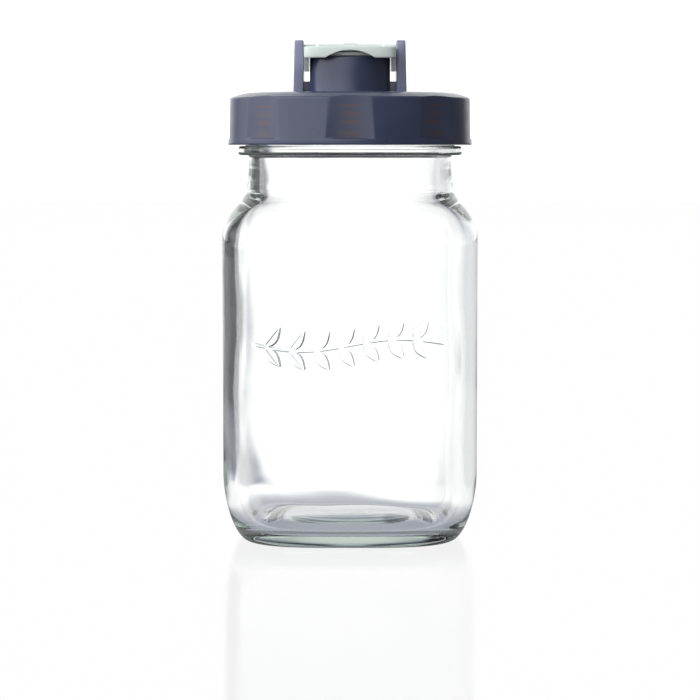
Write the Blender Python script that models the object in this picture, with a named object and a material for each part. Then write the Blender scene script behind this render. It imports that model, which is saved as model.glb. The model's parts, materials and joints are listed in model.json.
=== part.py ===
"""Glass storage jar with a screw-on pouring lid and a flip cap.

Metres, +Z up. The origin is the centre of the plane the jar stands on, and the front of the jar faces -Y.
Five pieces: the glass jar, the sealing ring on its rim, the lid with its spout and ears, the flip cap that
turns between the ears, and the seal under the cap. The lid is modelled screwed down and the cap closed.
"""

import math

import bmesh
import bpy
from mathutils import Vector

# Gap between neighbouring pieces that touch on the real object.
FIT_GAP = 0.0003

# Glass body: a squircle in plan, on a soft heel, below a shoulder that turns into the round neck.
BODY_HALF_WIDTH = 0.0480
BODY_SQUARENESS = 3.3
BODY_HEIGHT = 0.0885
GLASS_WALL = 0.0040
HEEL_HEIGHT = 0.0240
HEEL_INSET = 0.0085
HEEL_ROUNDNESS = 1.7
HEEL_STEPS = 7
SHOULDER_HEIGHT = 0.0191
SHOULDER_NECK_PULL = 0.0051
SHOULDER_BODY_PULL = 0.0115
SHOULDER_INNER_DROP = 0.0016
SHOULDER_STEPS = 8

# Glass base: a flat bearing ring around a push-up, and a floor that is domed inside.
BEARING_WIDTH = 0.0045
PUSH_UP_HEIGHT = 0.0032
PUSH_UP_RIM_HEIGHT = 0.0027
PUSH_UP_SLOPE = 0.0060
FLOOR_THICKNESS = 0.0054
FLOOR_DOME = 0.0028
FLOOR_CORNER = 0.0090
FLOOR_WALL_LEAN = 0.0010
FLOOR_STEPS = 6

# Glass neck and screw finish.
MOUTH_RADIUS = 0.0346
FINISH_WALL = 0.0050
NECK_INSET = 0.0014
NECK_HEIGHT = 0.0094
NECK_FLARE = 0.0010
NECK_FLARE_HEIGHT = 0.0066
BEAD_HEIGHT = 0.0066
BEAD_OVERHANG = 0.0028
BEAD_EDGE = 0.0012
BEAD_ROOT_PULL = 0.0026
BEAD_SIDE_PULL = 0.0030
BEAD_STEPS = 5
FINISH_HEIGHT = 0.0151
RIM_ROUND = 0.0016

# Screw thread, right-handed, the same helix on glass and lid.
THREAD_PITCH = 0.0050
THREAD_TURNS = 1.5
THREAD_START = 0.0039
THREAD_DEPTH = 0.0024
THREAD_OVERLAP = 0.0011
THREAD_ROOT = 0.0006
LID_THREAD_LEAD = 0.2
GLASS_RIDGE_SHARE = 0.22
LID_RIDGE_SHARE = 0.18
RIDGE_TIP_SHARE = 0.5
THREAD_FADE = 0.07

# Sealing ring between the glass rim and the lid.
SEAL_THICKNESS = 0.0017
SEAL_INNER_MARGIN = 0.0004

# Lid: skirt, deck, flutes.
SKIRT_CLEARANCE = 0.0009
SKIRT_WALL = 0.0032
SKIRT_DRAFT = 0.0004
SKIRT_LEAD_IN = 0.0007
LID_BEAD_GAP = 0.0004
DECK_THICKNESS = 0.0026
CROWN_DROP = 0.0018
CROWN_WIDTH = 0.0095
DECK_EDGE_ROUND = 0.0010
FLUTE_COUNT = 8
FLUTE_HALF_ANGLE = math.radians(11.3)
FLUTE_DEPTH = 0.0015
FLUTE_LEDGE = 0.0021
FLUTE_RUN_OUT = 1.25
FLUTE_STEPS = 8

# Spout, ears and the low webs that tie each ear to the spout.
SPOUT_RADIUS = 0.0152
SPOUT_WALL = 0.0018
SPOUT_HEIGHT = 0.0134
SPOUT_RIM_ROUND = 0.0005
EAR_THICKNESS = 0.0039
EAR_DRAFT = 0.0005
EAR_FRONT = 0.0040
EAR_BACK = 0.0036
EAR_RISE = 0.0028
EAR_FRONT_ROUND = 0.0019
EAR_BACK_ARC_DEG = 40
EAR_CROWN_SETBACK = 0.0010
EAR_EDGE = 0.0004
EAR_BEVEL_ANGLE = 50
WEB_HEIGHT = 0.0043
WEB_THICKNESS = 0.0035

# Flip cap.
CAP_WALL = 0.0017
CAP_FRONT_GAP = 0.0006
CAP_PLATE = 0.0017
CAP_SKIRT = 0.0007
CHEEK_DROP = 0.0045
CHEEK_FRONT_ROOT = 0.0091
CHEEK_FRONT_TIP = 0.0053
CHEEK_BACK_TIP = 0.0084
CAP_CORNER = 0.0034
CAP_BOW = 0.0009
CAP_EDGE = 0.0005
CAP_BEVEL_ANGLE = 60
CAP_FRONT_STEPS = 8
CAP_CORNER_ARC_DEG = 75
BARREL_RADIUS = 0.0020
BARREL_SETBACK = 0.0020
PIN_RADIUS = 0.0016
PIN_REACH = 0.0034
NOTCH_HALF_WIDTH = 0.0093
NOTCH_RISE = 0.0029
TAB_WIDTH = 0.0041
TAB_SLOT_WIDTH = 0.0008
TAB_SLOT_LENGTH = 0.0085
NUB_WIDTH = 0.0053
NUB_DEPTH = 0.0016
NUB_STAND = 0.0004

# Seal under the cap.
SPOUT_SEAL_FLANGE = 0.0013
SPOUT_SEAL_MARGIN = 0.0008
SPOUT_SEAL_LIP_DEPTH = 0.0018
SPOUT_SEAL_LIP_GAP = 0.0016
SPOUT_SEAL_LIP_WALL = 0.0014
STUD_RADIUS = 0.0030

# Facets around each round piece, steps in small roundings, and the angle above which an edge stays sharp.
GLASS_SEGMENTS = 48
LID_SEGMENTS = 64
BARREL_SEGMENTS = 24
SMALL_SEGMENTS = 20
NOTCH_SEGMENTS = 72
ROUND_STEPS = 3
CORNER_STEPS = 4
LIP_STEPS = 2
SHARP_ANGLE = 35

# Heights that follow from the sizes above.
SHOULDER_Z = HEEL_HEIGHT + BODY_HEIGHT
NECK_ROOT_Z = SHOULDER_Z + SHOULDER_HEIGHT
BEAD_Z = NECK_ROOT_Z + NECK_HEIGHT
FINISH_Z = BEAD_Z + BEAD_HEIGHT
RIM_Z = FINISH_Z + FINISH_HEIGHT
SEAL_Z = RIM_Z + FIT_GAP
LID_Z = FINISH_Z + LID_BEAD_GAP
DECK_UNDER_Z = SEAL_Z + SEAL_THICKNESS + FIT_GAP
DECK_Z = DECK_UNDER_Z + DECK_THICKNESS
SPOUT_TOP_Z = DECK_Z + SPOUT_HEIGHT
CAP_UNDER_Z = SPOUT_TOP_Z + FIT_GAP + SPOUT_SEAL_FLANGE + FIT_GAP
CAP_TOP_Z = CAP_UNDER_Z + CAP_PLATE
CAP_SKIRT_Z = SPOUT_TOP_Z - CAP_SKIRT
PIVOT_Z = CAP_TOP_Z
EAR_TOP_Z = PIVOT_Z + EAR_RISE

# Radii and widths that follow from the sizes above.
FINISH_RADIUS = MOUTH_RADIUS + FINISH_WALL
NECK_RADIUS = FINISH_RADIUS - NECK_INSET
NECK_ROOT_RADIUS = NECK_RADIUS + NECK_FLARE
BEAD_RADIUS = FINISH_RADIUS + BEAD_OVERHANG
FOOT_HALF_WIDTH = BODY_HALF_WIDTH - HEEL_INSET
SKIRT_INNER_RADIUS = FINISH_RADIUS + THREAD_DEPTH + SKIRT_CLEARANCE
SKIRT_RADIUS = SKIRT_INNER_RADIUS + SKIRT_WALL
LID_THREAD_RADIUS = FINISH_RADIUS + THREAD_DEPTH - THREAD_OVERLAP
SPOUT_BORE = SPOUT_RADIUS - SPOUT_WALL
CHEEK_INNER_X = SPOUT_RADIUS + FIT_GAP
CAP_HALF_WIDTH = CHEEK_INNER_X + CAP_WALL
EAR_INNER_X = CAP_HALF_WIDTH + FIT_GAP
CAP_FRONT_Y = -(SPOUT_RADIUS + CAP_FRONT_GAP + CAP_WALL)
PIVOT_Y = SPOUT_RADIUS + BARREL_SETBACK


def clear_scene():
    for obj in list(bpy.data.objects):
        bpy.data.objects.remove(obj, do_unlink=True)


def material(name, colour, roughness, transmission=0.0, ior=1.5):
    """Glass or plastic: nothing on the jar is metal."""
    made = bpy.data.materials.new(name)
    made.use_nodes = True
    shader = made.node_tree.nodes["Principled BSDF"]
    shader.inputs["Base Color"].default_value = (*colour, 1.0)
    shader.inputs["Roughness"].default_value = roughness
    shader.inputs["Metallic"].default_value = 0.0
    shader.inputs["Transmission Weight"].default_value = transmission
    shader.inputs["IOR"].default_value = ior
    return made


def bezier(start, pull_start, pull_end, end, steps):
    """Points along a cubic curve, without its first one."""
    found = []
    for i in range(1, steps + 1):
        t = i / steps
        weights = ((1 - t) ** 3, 3 * t * (1 - t) ** 2, 3 * t * t * (1 - t), t**3)
        corners = (start, pull_start, pull_end, end)
        found.append(tuple(sum(w * p[k] for w, p in zip(weights, corners)) for k in range(2)))
    return found


def arc(centre, radius, start_deg, end_deg, steps):
    """Points along a circular arc, both ends included."""
    angles = [math.radians(start_deg + (end_deg - start_deg) * i / steps) for i in range(steps + 1)]
    return [(centre[0] + radius * math.cos(a), centre[1] + radius * math.sin(a)) for a in angles]


def section(half_width, z, squareness, segments):
    """A ring of points in plan: a circle at squareness 2, squarer above that."""
    ring = []
    for i in range(segments):
        angle = 2 * math.pi * i / segments
        c, s = math.cos(angle), math.sin(angle)
        reach = half_width / (abs(c) ** squareness + abs(s) ** squareness) ** (1 / squareness)
        ring.append(Vector((reach * c, reach * s, z)))
    return ring


def mesh_object(name, bm, finish=None):
    """The bmesh as an object, its faces pointing out."""
    bm.normal_update()
    bmesh.ops.recalc_face_normals(bm, faces=bm.faces)
    mesh = bpy.data.meshes.new(name)
    bm.to_mesh(mesh)
    bm.free()
    obj = bpy.data.objects.new(name, mesh)
    bpy.context.scene.collection.objects.link(obj)
    if finish:
        mesh.materials.append(finish)
    return obj


def shade(obj):
    obj.data.shade_smooth()
    obj.data.set_sharp_from_angle(angle=math.radians(SHARP_ANGLE))


def soften_edges(obj, width, segments, angle_deg):
    """A bevel on the edges sharper than the angle."""
    bevel = obj.modifiers.new("edge", "BEVEL")
    bevel.width = width
    bevel.segments = segments
    bevel.limit_method = "ANGLE"
    bevel.angle_limit = math.radians(angle_deg)


def bridge(bm, lower, upper):
    count = len(lower)
    for i in range(count):
        j = (i + 1) % count
        bm.faces.new((lower[i], lower[j], upper[j], upper[i]))


def lofted(name, rings, finish, closed_loop):
    """A solid through stacked rings. Either the last ring joins the first, or both ends close on a point."""
    bm = bmesh.new()
    layers = [[bm.verts.new(point) for point in ring] for ring in rings]
    for lower, upper in zip(layers, layers[1:]):
        bridge(bm, lower, upper)
    if closed_loop:
        bridge(bm, layers[-1], layers[0])
    else:
        for layer in (layers[0], layers[-1]):
            middle = sum((vert.co for vert in layer), Vector()) / len(layer)
            tip = bm.verts.new(middle)
            for i, vert in enumerate(layer):
                bm.faces.new((vert, layer[(i + 1) % len(layer)], tip))
    return mesh_object(name, bm, finish)


def turned(name, profile, segments, finish=None):
    """A ring-shaped solid of revolution about Z from a closed (radius, z) outline."""
    return lofted(name, [section(r, z, 2.0, segments) for r, z in profile], finish, True)


def extruded(name, outline, place, low, high, finish=None):
    """A prism: place(u, v, w) puts the outline's points at each end, w being low or high."""
    bm = bmesh.new()
    ends = [[bm.verts.new(place(u, v, w)) for u, v in outline] for w in (low, high)]
    bridge(bm, *ends)
    for end in ends:
        bm.faces.new(end)
    return mesh_object(name, bm, finish)


def upright(u, v, w):
    return Vector((u, v, w))


def sideways(u, v, w):
    """An outline in the YZ plane, extruded along X."""
    return Vector((w, u, v))


def frontways(u, v, w):
    """An outline in the XZ plane, extruded along Y."""
    return Vector((u, w, v))


def shaft(name, stations):
    """A round shaft along the cap's hinge axis, stepped at each (x, radius)."""
    rings = []
    for x, radius in stations:
        circle = arc((PIVOT_Y, PIVOT_Z), radius, 0, 360, BARREL_SEGMENTS)[:-1]
        rings.append([sideways(y, z, x) for y, z in circle])
    return lofted(name, rings, None, False)


def mirrored(name, source):
    """The same helper on the other side of the YZ plane."""
    bm = bmesh.new()
    bm.from_mesh(source.data)
    for vert in bm.verts:
        vert.co.x = -vert.co.x
    return mesh_object(name, bm)


def combine(target, helper, operation):
    """A live Boolean on the target. The helper stays in the file, out of the render."""
    helper.hide_render = True
    helper.display_type = "WIRE"
    boolean = target.modifiers.new(helper.name, "BOOLEAN")
    boolean.operation = operation
    boolean.solver = "EXACT"
    boolean.object = helper


def helix_ridge(name, wall_radius, tip_radius, base_z, lead_turns, ridge_half, segments):
    """A thread ridge that grows out of the wall at wall_radius and fades back into it at both ends."""
    steps = round(THREAD_TURNS * segments)
    outward = 1 if tip_radius > wall_radius else -1
    root_radius = wall_radius - outward * THREAD_ROOT
    bm = bmesh.new()
    layers = []
    for i in range(steps + 1):
        along = i / steps
        angle = 2 * math.pi * (lead_turns + THREAD_TURNS * along)
        z = base_z + THREAD_PITCH * (lead_turns + THREAD_TURNS * along)
        fade = min(1.0, along / THREAD_FADE, (1 - along) / THREAD_FADE)
        sunk_radius = wall_radius - outward * THREAD_ROOT / 2
        tip = sunk_radius + (tip_radius - sunk_radius) * fade
        corners = (
            (root_radius, -ridge_half),
            (tip, -ridge_half * RIDGE_TIP_SHARE),
            (tip, ridge_half * RIDGE_TIP_SHARE),
            (root_radius, ridge_half),
        )
        layers.append(
            [bm.verts.new((r * math.cos(angle), r * math.sin(angle), z + dz)) for r, dz in corners]
        )
    for lower, upper in zip(layers, layers[1:]):
        bridge(bm, lower, upper)
    bm.faces.new(layers[0])
    bm.faces.new(layers[-1])
    return mesh_object(name, bm)


def squareness_at(z):
    """Round above the shoulder, a squircle below it."""
    share = (NECK_ROOT_Z - z) / SHOULDER_HEIGHT
    share = min(1.0, max(0.0, share))
    return 2.0 + (BODY_SQUARENESS - 2.0) * share * share * (3 - 2 * share)


def jar_outline():
    """(half width, z) from the middle of the underside, up the outside, over the rim, down to the floor."""
    bearing_inner = FOOT_HALF_WIDTH - BEARING_WIDTH
    push_up = bearing_inner - PUSH_UP_SLOPE
    outline = [(push_up / 2, PUSH_UP_HEIGHT), (push_up, PUSH_UP_RIM_HEIGHT), (bearing_inner, 0.0)]
    for i in range(HEEL_STEPS + 1):
        drop = math.sin(0.5 * math.pi * (1 - i / HEEL_STEPS))
        reach = (1 - drop**HEEL_ROUNDNESS) ** (1 / HEEL_ROUNDNESS)
        outline.append((FOOT_HALF_WIDTH + HEEL_INSET * reach, HEEL_HEIGHT * (1 - drop)))
    shoulder = ((BODY_HALF_WIDTH, SHOULDER_Z), (NECK_ROOT_RADIUS, NECK_ROOT_Z))
    outline.append(shoulder[0])
    outline += bezier(
        shoulder[0],
        (BODY_HALF_WIDTH, SHOULDER_Z + SHOULDER_BODY_PULL),
        (NECK_ROOT_RADIUS, NECK_ROOT_Z - SHOULDER_NECK_PULL),
        shoulder[1],
        SHOULDER_STEPS,
    )
    outline.append((NECK_RADIUS, NECK_ROOT_Z + NECK_FLARE_HEIGHT))
    bead_side_z = FINISH_Z - BEAD_EDGE
    outline.append((NECK_RADIUS, BEAD_Z))
    outline += bezier(
        (NECK_RADIUS, BEAD_Z),
        (NECK_RADIUS, BEAD_Z + BEAD_ROOT_PULL),
        (BEAD_RADIUS, bead_side_z - BEAD_SIDE_PULL),
        (BEAD_RADIUS, bead_side_z),
        BEAD_STEPS,
    )
    outline += arc((BEAD_RADIUS - BEAD_EDGE, bead_side_z), BEAD_EDGE, 30, 90, LIP_STEPS)
    outline.append((FINISH_RADIUS, FINISH_Z))
    outline += arc((FINISH_RADIUS - RIM_ROUND, RIM_Z - RIM_ROUND), RIM_ROUND, 0, 90, ROUND_STEPS)
    outline += arc((MOUTH_RADIUS + RIM_ROUND, RIM_Z - RIM_ROUND), RIM_ROUND, 90, 180, ROUND_STEPS)
    inner_half_width = BODY_HALF_WIDTH - GLASS_WALL
    inner_root_z = NECK_ROOT_Z - SHOULDER_INNER_DROP
    inner_shoulder_z = SHOULDER_Z - SHOULDER_INNER_DROP
    outline.append((MOUTH_RADIUS, inner_root_z))
    outline += bezier(
        (MOUTH_RADIUS, inner_root_z),
        (MOUTH_RADIUS, inner_root_z - SHOULDER_NECK_PULL),
        (inner_half_width, inner_shoulder_z + SHOULDER_BODY_PULL),
        (inner_half_width, inner_shoulder_z),
        SHOULDER_STEPS,
    )
    floor_half_width = FOOT_HALF_WIDTH - GLASS_WALL
    outline.append((inner_half_width, HEEL_HEIGHT))
    outline += bezier(
        (inner_half_width, HEEL_HEIGHT),
        (inner_half_width - FLOOR_WALL_LEAN, FLOOR_THICKNESS + FLOOR_CORNER / 2),
        (floor_half_width + FLOOR_CORNER / 2, FLOOR_THICKNESS),
        (floor_half_width, FLOOR_THICKNESS),
        FLOOR_STEPS,
    )
    for share in (2 / 3, 1 / 3):
        outline.append((floor_half_width * share, FLOOR_THICKNESS + FLOOR_DOME * (1 - share**2)))
    return outline


def make_glass_jar(finish):
    rings = [section(a, z, squareness_at(z), GLASS_SEGMENTS) for a, z in jar_outline()]
    jar = lofted("glass_jar", rings, finish, False)
    thread = helix_ridge(
        "jar_thread_helper",
        FINISH_RADIUS,
        FINISH_RADIUS + THREAD_DEPTH,
        FINISH_Z + THREAD_START,
        0.0,
        GLASS_RIDGE_SHARE * THREAD_PITCH,
        GLASS_SEGMENTS,
    )
    combine(jar, thread, "UNION")
    shade(jar)
    return jar


def make_lid_seal_ring(finish):
    inner = MOUTH_RADIUS + SEAL_INNER_MARGIN
    outer = LID_THREAD_RADIUS - FIT_GAP
    top_z = SEAL_Z + SEAL_THICKNESS
    profile = [(outer, top_z), (outer, SEAL_Z), (inner, SEAL_Z), (inner, top_z)]
    ring = turned("lid_seal_ring", profile, GLASS_SEGMENTS, finish)
    shade(ring)
    return ring


def lid_outline():
    """(radius, z) round the lid's wall: outer skirt, deck, spout, bore, underside, inner skirt."""
    crown_radius = SKIRT_RADIUS - CROWN_WIDTH
    edge_z = DECK_Z - CROWN_DROP
    outline = [(SKIRT_RADIUS, LID_Z)]
    edge_centre = (SKIRT_RADIUS - SKIRT_DRAFT - DECK_EDGE_ROUND, edge_z - DECK_EDGE_ROUND)
    outline += arc(edge_centre, DECK_EDGE_ROUND, 0, 75, ROUND_STEPS)
    outline.append(((crown_radius + SKIRT_RADIUS) / 2, DECK_Z - CROWN_DROP / 4))
    outline.append((crown_radius, DECK_Z))
    outline.append((SPOUT_RADIUS, DECK_Z))
    lip_z = SPOUT_TOP_Z - SPOUT_RIM_ROUND
    outline += arc((SPOUT_RADIUS - SPOUT_RIM_ROUND, lip_z), SPOUT_RIM_ROUND, 0, 90, LIP_STEPS)
    outline += arc((SPOUT_BORE + SPOUT_RIM_ROUND, lip_z), SPOUT_RIM_ROUND, 90, 180, LIP_STEPS)
    outline.append((SPOUT_BORE, DECK_UNDER_Z))
    outline.append((SKIRT_INNER_RADIUS, DECK_UNDER_Z))
    outline.append((SKIRT_INNER_RADIUS, LID_Z + SKIRT_LEAD_IN))
    outline.append((SKIRT_INNER_RADIUS + SKIRT_LEAD_IN, LID_Z))
    return outline


def flute_cutter():
    """Concave grip flutes, evenly spaced, from a ledge above the skirt's foot out through the deck's edge."""
    half_chord = SKIRT_RADIUS * math.sin(FLUTE_HALF_ANGLE)
    sagitta = FLUTE_DEPTH - SKIRT_RADIUS * (1 - math.cos(FLUTE_HALF_ANGLE))
    radius = (half_chord**2 + sagitta**2) / (2 * sagitta)
    spread = math.degrees(math.asin(half_chord / radius)) * FLUTE_RUN_OUT
    floor = arc((SKIRT_RADIUS - FLUTE_DEPTH + radius, 0), radius, 180 - spread, 180 + spread, FLUTE_STEPS)
    outside = SKIRT_RADIUS + FLUTE_DEPTH
    outline = [(outside, floor[0][1]), *floor, (outside, floor[-1][1])]
    low, high = LID_Z + FLUTE_LEDGE, DECK_Z + FLUTE_DEPTH
    bm = bmesh.new()
    for k in range(FLUTE_COUNT):
        turn = 2 * math.pi * k / FLUTE_COUNT
        c, s = math.cos(turn), math.sin(turn)
        ends = [[bm.verts.new((x * c - y * s, x * s + y * c, z)) for x, y in outline] for z in (low, high)]
        bridge(bm, *ends)
        for end in ends:
            bm.faces.new(end)
    return mesh_object("flute_cutter", bm)


def ear_blank():
    """The right ear, rooted in the deck, its outer face drafted, its top front corner rounded."""
    back, front, root = PIVOT_Y + EAR_BACK, -EAR_FRONT, DECK_Z - DECK_THICKNESS / 2
    outline = [(back, root)]
    outline += arc((PIVOT_Y, PIVOT_Z), EAR_BACK, 0, EAR_BACK_ARC_DEG, ROUND_STEPS)
    outline.append((PIVOT_Y - EAR_CROWN_SETBACK, EAR_TOP_Z))
    corner = (front + EAR_FRONT_ROUND, EAR_TOP_Z - EAR_FRONT_ROUND)
    outline += arc(corner, EAR_FRONT_ROUND, 90, 180, CORNER_STEPS)
    outline.append((front, root))
    height = EAR_TOP_Z - DECK_Z

    def place(y, z, outer):
        lean = EAR_DRAFT * (z - DECK_Z) / height
        return Vector((EAR_INNER_X + outer * (EAR_THICKNESS - lean), y, z))

    return extruded("ear_right_helper", outline, place, 0, 1)


def web_blank():
    """The right web, a low block that runs from inside the spout's wall into the ear."""
    inner, outer = SPOUT_RADIUS - SPOUT_WALL / 2, EAR_INNER_X + EAR_THICKNESS / 2
    root, top = DECK_Z - DECK_THICKNESS / 2, DECK_Z + WEB_HEIGHT
    outline = [(inner, root), (outer, root), (outer, top), (inner, top)]
    return extruded("web_right_helper", outline, frontways, -WEB_THICKNESS / 2, WEB_THICKNESS / 2)


def make_screw_lid(finish):
    lid = turned("screw_lid", lid_outline(), LID_SEGMENTS, finish)
    combine(lid, flute_cutter(), "DIFFERENCE")
    ear = ear_blank()
    ears = (ear, mirrored("ear_left_helper", ear))
    for helper in ears:
        soften_edges(helper, EAR_EDGE, 1, EAR_BEVEL_ANGLE)
    web = web_blank()
    for helper in (*ears, web, mirrored("web_left_helper", web)):
        combine(lid, helper, "UNION")
    reach, hole = EAR_INNER_X + 2 * EAR_THICKNESS, PIN_RADIUS + FIT_GAP
    combine(lid, shaft("pin_hole_cutter", [(-reach, hole), (reach, hole)]), "DIFFERENCE")
    thread = helix_ridge(
        "lid_thread_helper",
        SKIRT_INNER_RADIUS,
        LID_THREAD_RADIUS,
        FINISH_Z + THREAD_START - THREAD_PITCH / 2,
        LID_THREAD_LEAD,
        LID_RIDGE_SHARE * THREAD_PITCH,
        LID_SEGMENTS,
    )
    combine(lid, thread, "UNION")
    shade(lid)
    return lid


def cap_plan(half_width, front_y, back_y, corner, bow):
    """Plan outline of the cap: straight sides and back, rounded front corners, a front that bows forward."""
    outline = [(-half_width, back_y), (-half_width, front_y + bow + corner)]
    run = half_width - corner
    centre_y = front_y + bow + corner
    outline += arc((-run, centre_y), corner, 180, 180 + CAP_CORNER_ARC_DEG, CORNER_STEPS)[1:]
    for i in range(1, CAP_FRONT_STEPS):
        x = -run + 2 * run * i / CAP_FRONT_STEPS
        outline.append((x, front_y + bow * (x / half_width) ** 2))
    outline += arc((run, centre_y), corner, 360 - CAP_CORNER_ARC_DEG, 360, CORNER_STEPS)
    outline.append((half_width, back_y))
    return outline


def cheek_blank():
    """The right cheek, a tongue that hangs below the cap's side between spout and ear."""
    root_z = CAP_UNDER_Z + CAP_PLATE / 2
    tip_z = CAP_SKIRT_Z - CHEEK_DROP
    back = PIVOT_Y - BARREL_RADIUS / 2
    outline = [
        (-CHEEK_FRONT_ROOT, root_z),
        (-CHEEK_FRONT_ROOT, CAP_SKIRT_Z),
        (-CHEEK_FRONT_TIP, tip_z),
        (CHEEK_BACK_TIP, tip_z),
        (back, CAP_SKIRT_Z),
        (back, root_z),
    ]
    return extruded("cheek_right_helper", outline, sideways, CHEEK_INNER_X, CAP_HALF_WIDTH)


def hinge_shaft():
    """The hinge barrel, as wide as the cap, with a stub pin at each end, all in one piece."""
    barrel_end, pin_end = CAP_HALF_WIDTH, EAR_INNER_X + PIN_REACH
    half = [(barrel_end, BARREL_RADIUS), (barrel_end, PIN_RADIUS), (pin_end, PIN_RADIUS)]
    other_half = [(-x, radius) for x, radius in reversed(half)]
    return shaft("hinge_shaft_helper", other_half + half)


def nub_blank():
    """A small ridge on top of the barrel, in its middle."""
    half, top = NUB_WIDTH / 2, PIVOT_Z + BARREL_RADIUS + NUB_STAND
    outline = [(-half, PIVOT_Z), (half, PIVOT_Z), (half, top), (-half, top)]
    return extruded("nub_helper", outline, frontways, PIVOT_Y - NUB_DEPTH / 2, PIVOT_Y + NUB_DEPTH / 2)


def notch_cutter():
    """The thumb notch, an arch out of the front skirt's lower edge."""
    radius = (NOTCH_HALF_WIDTH**2 + NOTCH_RISE**2) / (2 * NOTCH_RISE)
    outline = arc((0, CAP_SKIRT_Z + NOTCH_RISE - radius), radius, 0, 360, NOTCH_SEGMENTS)[:-1]
    return extruded("notch_cutter", outline, frontways, CAP_FRONT_Y - CAP_WALL, CAP_FRONT_Y + 2 * CAP_WALL)


def slot_blank():
    """The right slot, which frees a springy tab so that the pin at its side can snap into the ear."""
    middle = CAP_HALF_WIDTH - TAB_WIDTH - TAB_SLOT_WIDTH / 2
    front, back = PIVOT_Y - TAB_SLOT_LENGTH, PIVOT_Y + 2 * BARREL_RADIUS
    low, high = CAP_SKIRT_Z - CAP_WALL, PIVOT_Z + 2 * BARREL_RADIUS
    outline = [(front, low), (back, low), (back, high), (front, high)]
    half = TAB_SLOT_WIDTH / 2
    return extruded("slot_right_cutter", outline, sideways, middle - half, middle + half)


def make_flip_cap(finish):
    plan = cap_plan(CAP_HALF_WIDTH, CAP_FRONT_Y, PIVOT_Y, CAP_CORNER, CAP_BOW)
    cap = extruded("flip_cap", plan, upright, CAP_SKIRT_Z, CAP_TOP_Z, finish)
    soften_edges(cap, CAP_EDGE, 2, CAP_BEVEL_ANGLE)
    open_back_y = PIVOT_Y + BARREL_RADIUS
    cavity = cap_plan(CHEEK_INNER_X, CAP_FRONT_Y + CAP_WALL, open_back_y, CAP_CORNER - CAP_WALL, CAP_BOW)
    cavity_cutter = extruded("cap_cavity_cutter", cavity, upright, CAP_SKIRT_Z - CAP_WALL, CAP_UNDER_Z)
    combine(cap, cavity_cutter, "DIFFERENCE")
    cheek = cheek_blank()
    stud = arc((0, 0), STUD_RADIUS, 0, 360, SMALL_SEGMENTS)[:-1]
    helpers = [
        hinge_shaft(),
        cheek,
        mirrored("cheek_left_helper", cheek),
        nub_blank(),
        extruded("stud_helper", stud, upright, CAP_UNDER_Z - SPOUT_SEAL_FLANGE, CAP_UNDER_Z + CAP_PLATE / 2),
    ]
    for helper in helpers:
        combine(cap, helper, "UNION")
    combine(cap, notch_cutter(), "DIFFERENCE")
    slot = slot_blank()
    for helper in (slot, mirrored("slot_left_cutter", slot)):
        combine(cap, helper, "DIFFERENCE")
    shade(cap)
    return cap


def make_spout_seal(finish):
    """A flanged disc on the cap's stud, with a lip that reaches into the spout."""
    flange_z = SPOUT_TOP_Z + FIT_GAP
    flange_top_z = flange_z + SPOUT_SEAL_FLANGE
    flange = SPOUT_RADIUS - SPOUT_SEAL_MARGIN
    lip = SPOUT_BORE - SPOUT_SEAL_LIP_GAP
    hole = STUD_RADIUS + FIT_GAP
    profile = [
        (flange, flange_top_z),
        (flange, flange_z),
        (lip, flange_z),
        (lip - FIT_GAP, flange_z - SPOUT_SEAL_LIP_DEPTH),
        (lip - SPOUT_SEAL_LIP_WALL, flange_z - SPOUT_SEAL_LIP_DEPTH),
        (lip - SPOUT_SEAL_LIP_WALL, flange_z),
        (hole, flange_z),
        (hole, flange_top_z),
    ]
    seal = turned("spout_seal", profile, GLASS_SEGMENTS, finish)
    shade(seal)
    return seal


def hang_on(pivot_name, location, pieces):
    """An empty on a joint's axis that carries the pieces that move about it."""
    pivot = bpy.data.objects.new(pivot_name, None)
    pivot.location = location
    bpy.context.scene.collection.objects.link(pivot)
    for piece in pieces:
        piece.parent = pivot
        piece.matrix_parent_inverse.translation = -pivot.location
    return pivot


def main():
    clear_scene()
    glass = material("clear_glass", (0.94, 0.97, 0.96), 0.03, transmission=1.0, ior=1.52)
    slate = material("slate_plastic", (0.10, 0.11, 0.16), 0.38)
    mint = material("mint_plastic", (0.68, 0.76, 0.72), 0.40)
    silicone = material("pale_silicone", (0.72, 0.76, 0.70), 0.55)
    grey_seal = material("grey_seal", (0.30, 0.31, 0.33), 0.60)
    make_glass_jar(glass)
    seal_ring = make_lid_seal_ring(grey_seal)
    lid = make_screw_lid(slate)
    cap = make_flip_cap(mint)
    spout_seal = make_spout_seal(silicone)
    cap_axis = hang_on("cap_axis", (0, PIVOT_Y, PIVOT_Z), [cap, spout_seal])
    hang_on("lid_axis", (0, 0, LID_Z), [seal_ring, lid, cap_axis])


main()
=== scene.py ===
"""Looks for the glass storage jar with a pouring lid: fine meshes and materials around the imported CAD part.

Metres, +Z up, the front towards -Y. Overall sizes and places come from the frame's boxes and joints. What
the boxes can't tell, such as a wall's thickness or an edge's rounding, is a named value below.
"""

import json
import math

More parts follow.
